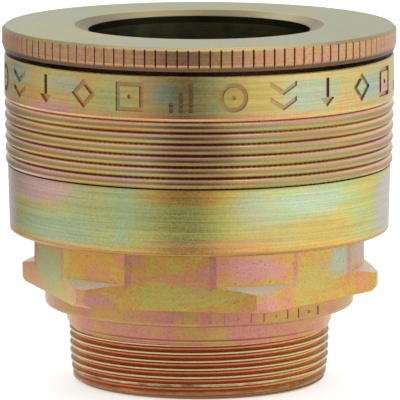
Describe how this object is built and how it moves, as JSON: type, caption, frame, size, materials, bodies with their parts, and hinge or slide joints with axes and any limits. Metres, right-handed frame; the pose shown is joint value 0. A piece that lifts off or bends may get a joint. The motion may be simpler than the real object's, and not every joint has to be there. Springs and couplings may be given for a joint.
{
  "type": "quick connect coupling socket",
  "caption": "Ball-lock quick-connect coupler socket with sliding ribbed sleeve, knurled nose ring, shut-off valve, hexagon body and male taper pipe thread.",
  "frame": {"origin": "centre of the pipe thread's end face, the lowest face", "axes": "+Z along the coupler's axis, from the pipe thread to the socket's mouth; +X through the first locking ball"},
  "size_m": [0.1128, 0.1128, 0.1025],
  "materials": {
    "plated_steel": "yellow zinc plate",
    "barrel_steel": "turned",
    "spring_steel": "drawn wire",
    "ball_steel": "polished",
    "screw_steel": "black oxide",
    "seal_rubber": "matte",
    "ptfe": "satin"
  },
  "bodies": {
    "coupler_body": {"hex_adapter": "plated_steel", "socket_barrel": "barrel_steel", "nose_ring": "plated_steel", "spring_seat_washer": "barrel_steel", "sleeve_spring": "spring_steel", "socket_seal": "seal_rubber", "backup_ring": "ptfe", "body_seal": "seal_rubber", "valve_guide": "barrel_steel", "guide_snap_ring": "spring_steel", "valve_spring": "spring_steel"},
    "grip_sleeve": {"grip_sleeve": "plated_steel"},
    "valve_poppet": {"valve_poppet": "barrel_steel", "valve_seal": "seal_rubber", "seal_retainer": "barrel_steel", "retainer_screw": "screw_steel"},
    "locking_ball_01": {"locking_ball_01": "ball_steel"},
    "locking_ball_02": {"locking_ball_02": "ball_steel"},
    "locking_ball_03": {"locking_ball_03": "ball_steel"},
    "locking_ball_04": {"locking_ball_04": "ball_steel"},
    "locking_ball_05": {"locking_ball_05": "ball_steel"},
    "locking_ball_06": {"locking_ball_06": "ball_steel"},
    "locking_ball_07": {"locking_ball_07": "ball_steel"},
    "locking_ball_08": {"locking_ball_08": "ball_steel"},
    "locking_ball_09": {"locking_ball_09": "ball_steel"},
    "locking_ball_10": {"locking_ball_10": "ball_steel"},
    "locking_ball_11": {"locking_ball_11": "ball_steel"},
    "locking_ball_12": {"locking_ball_12": "ball_steel"}
  },
  "joints": [
    {"name": "sleeve_slide", "type": "slide", "parent": "coupler_body", "child": "grip_sleeve", "axis": [0, 0, -1], "range_m": [0, 0.008], "stiffness_N_per_m": 3500, "springref_m": -0.012, "deforming": ["sleeve_spring"]},
    {"name": "poppet_slide", "type": "slide", "parent": "coupler_body", "child": "valve_poppet", "axis": [0, 0, -1], "range_m": [0, 0.0095], "stiffness_N_per_m": 2500, "springref_m": -0.01, "deforming": ["valve_spring"]},
    {"name": "ball_slide_01", "type": "slide", "parent": "coupler_body", "child": "locking_ball_01", "axis": [1, 0, 0], "range_m": [0, 0.0023]},
    {"name": "ball_slide_02", "type": "slide", "parent": "coupler_body", "child": "locking_ball_02", "axis": [0.866, 0.5, 0], "range_m": [0, 0.0023]},
    {"name": "ball_slide_03", "type": "slide", "parent": "coupler_body", "child": "locking_ball_03", "axis": [0.5, 0.866, 0], "range_m": [0, 0.0023]},
    {"name": "ball_slide_04", "type": "slide", "parent": "coupler_body", "child": "locking_ball_04", "axis": [0, 1, 0], "range_m": [0, 0.0023]},
    {"name": "ball_slide_05", "type": "slide", "parent": "coupler_body", "child": "locking_ball_05", "axis": [-0.5, 0.866, 0], "range_m": [0, 0.0023]},
    {"name": "ball_slide_06", "type": "slide", "parent": "coupler_body", "child": "locking_ball_06", "axis": [-0.866, 0.5, 0], "range_m": [0, 0.0023]},
    {"name": "ball_slide_07", "type": "slide", "parent": "coupler_body", "child": "locking_ball_07", "axis": [-1, 0, 0], "range_m": [0, 0.0023]},
    {"name": "ball_slide_08", "type": "slide", "parent": "coupler_body", "child": "locking_ball_08", "axis": [-0.866, -0.5, 0], "range_m": [0, 0.0023]},
    {"name": "ball_slide_09", "type": "slide", "parent": "coupler_body", "child": "locking_ball_09", "axis": [-0.5, -0.866, 0], "range_m": [0, 0.0023]},
    {"name": "ball_slide_10", "type": "slide", "parent": "coupler_body", "child": "locking_ball_10", "axis": [0, -1, 0], "range_m": [0, 0.0023]},
    {"name": "ball_slide_11", "type": "slide", "parent": "coupler_body", "child": "locking_ball_11", "axis": [0.5, -0.866, 0], "range_m": [0, 0.0023]},
    {"name": "ball_slide_12", "type": "slide", "parent": "coupler_body", "child": "locking_ball_12", "axis": [0.866, -0.5, 0], "range_m": [0, 0.0023]}
  ],
  "couplings": [
    {"joint": "ball_slide_01", "follows": "sleeve_slide", "ratio": 0.2875},
    {"joint": "ball_slide_02", "follows": "sleeve_slide", "ratio": 0.2875},
    {"joint": "ball_slide_03", "follows": "sleeve_slide", "ratio": 0.2875},
    {"joint": "ball_slide_04", "follows": "sleeve_slide", "ratio": 0.2875},
    {"joint": "ball_slide_05", "follows": "sleeve_slide", "ratio": 0.2875},
    {"joint": "ball_slide_06", "follows": "sleeve_slide", "ratio": 0.2875},
    {"joint": "ball_slide_07", "follows": "sleeve_slide", "ratio": 0.2875},
    {"joint": "ball_slide_08", "follows": "sleeve_slide", "ratio": 0.2875},
    {"joint": "ball_slide_09", "follows": "sleeve_slide", "ratio": 0.2875},
    {"joint": "ball_slide_10", "follows": "sleeve_slide", "ratio": 0.2875},
    {"joint": "ball_slide_11", "follows": "sleeve_slide", "ratio": 0.2875},
    {"joint": "ball_slide_12", "follows": "sleeve_slide", "ratio": 0.2875}
  ]
}
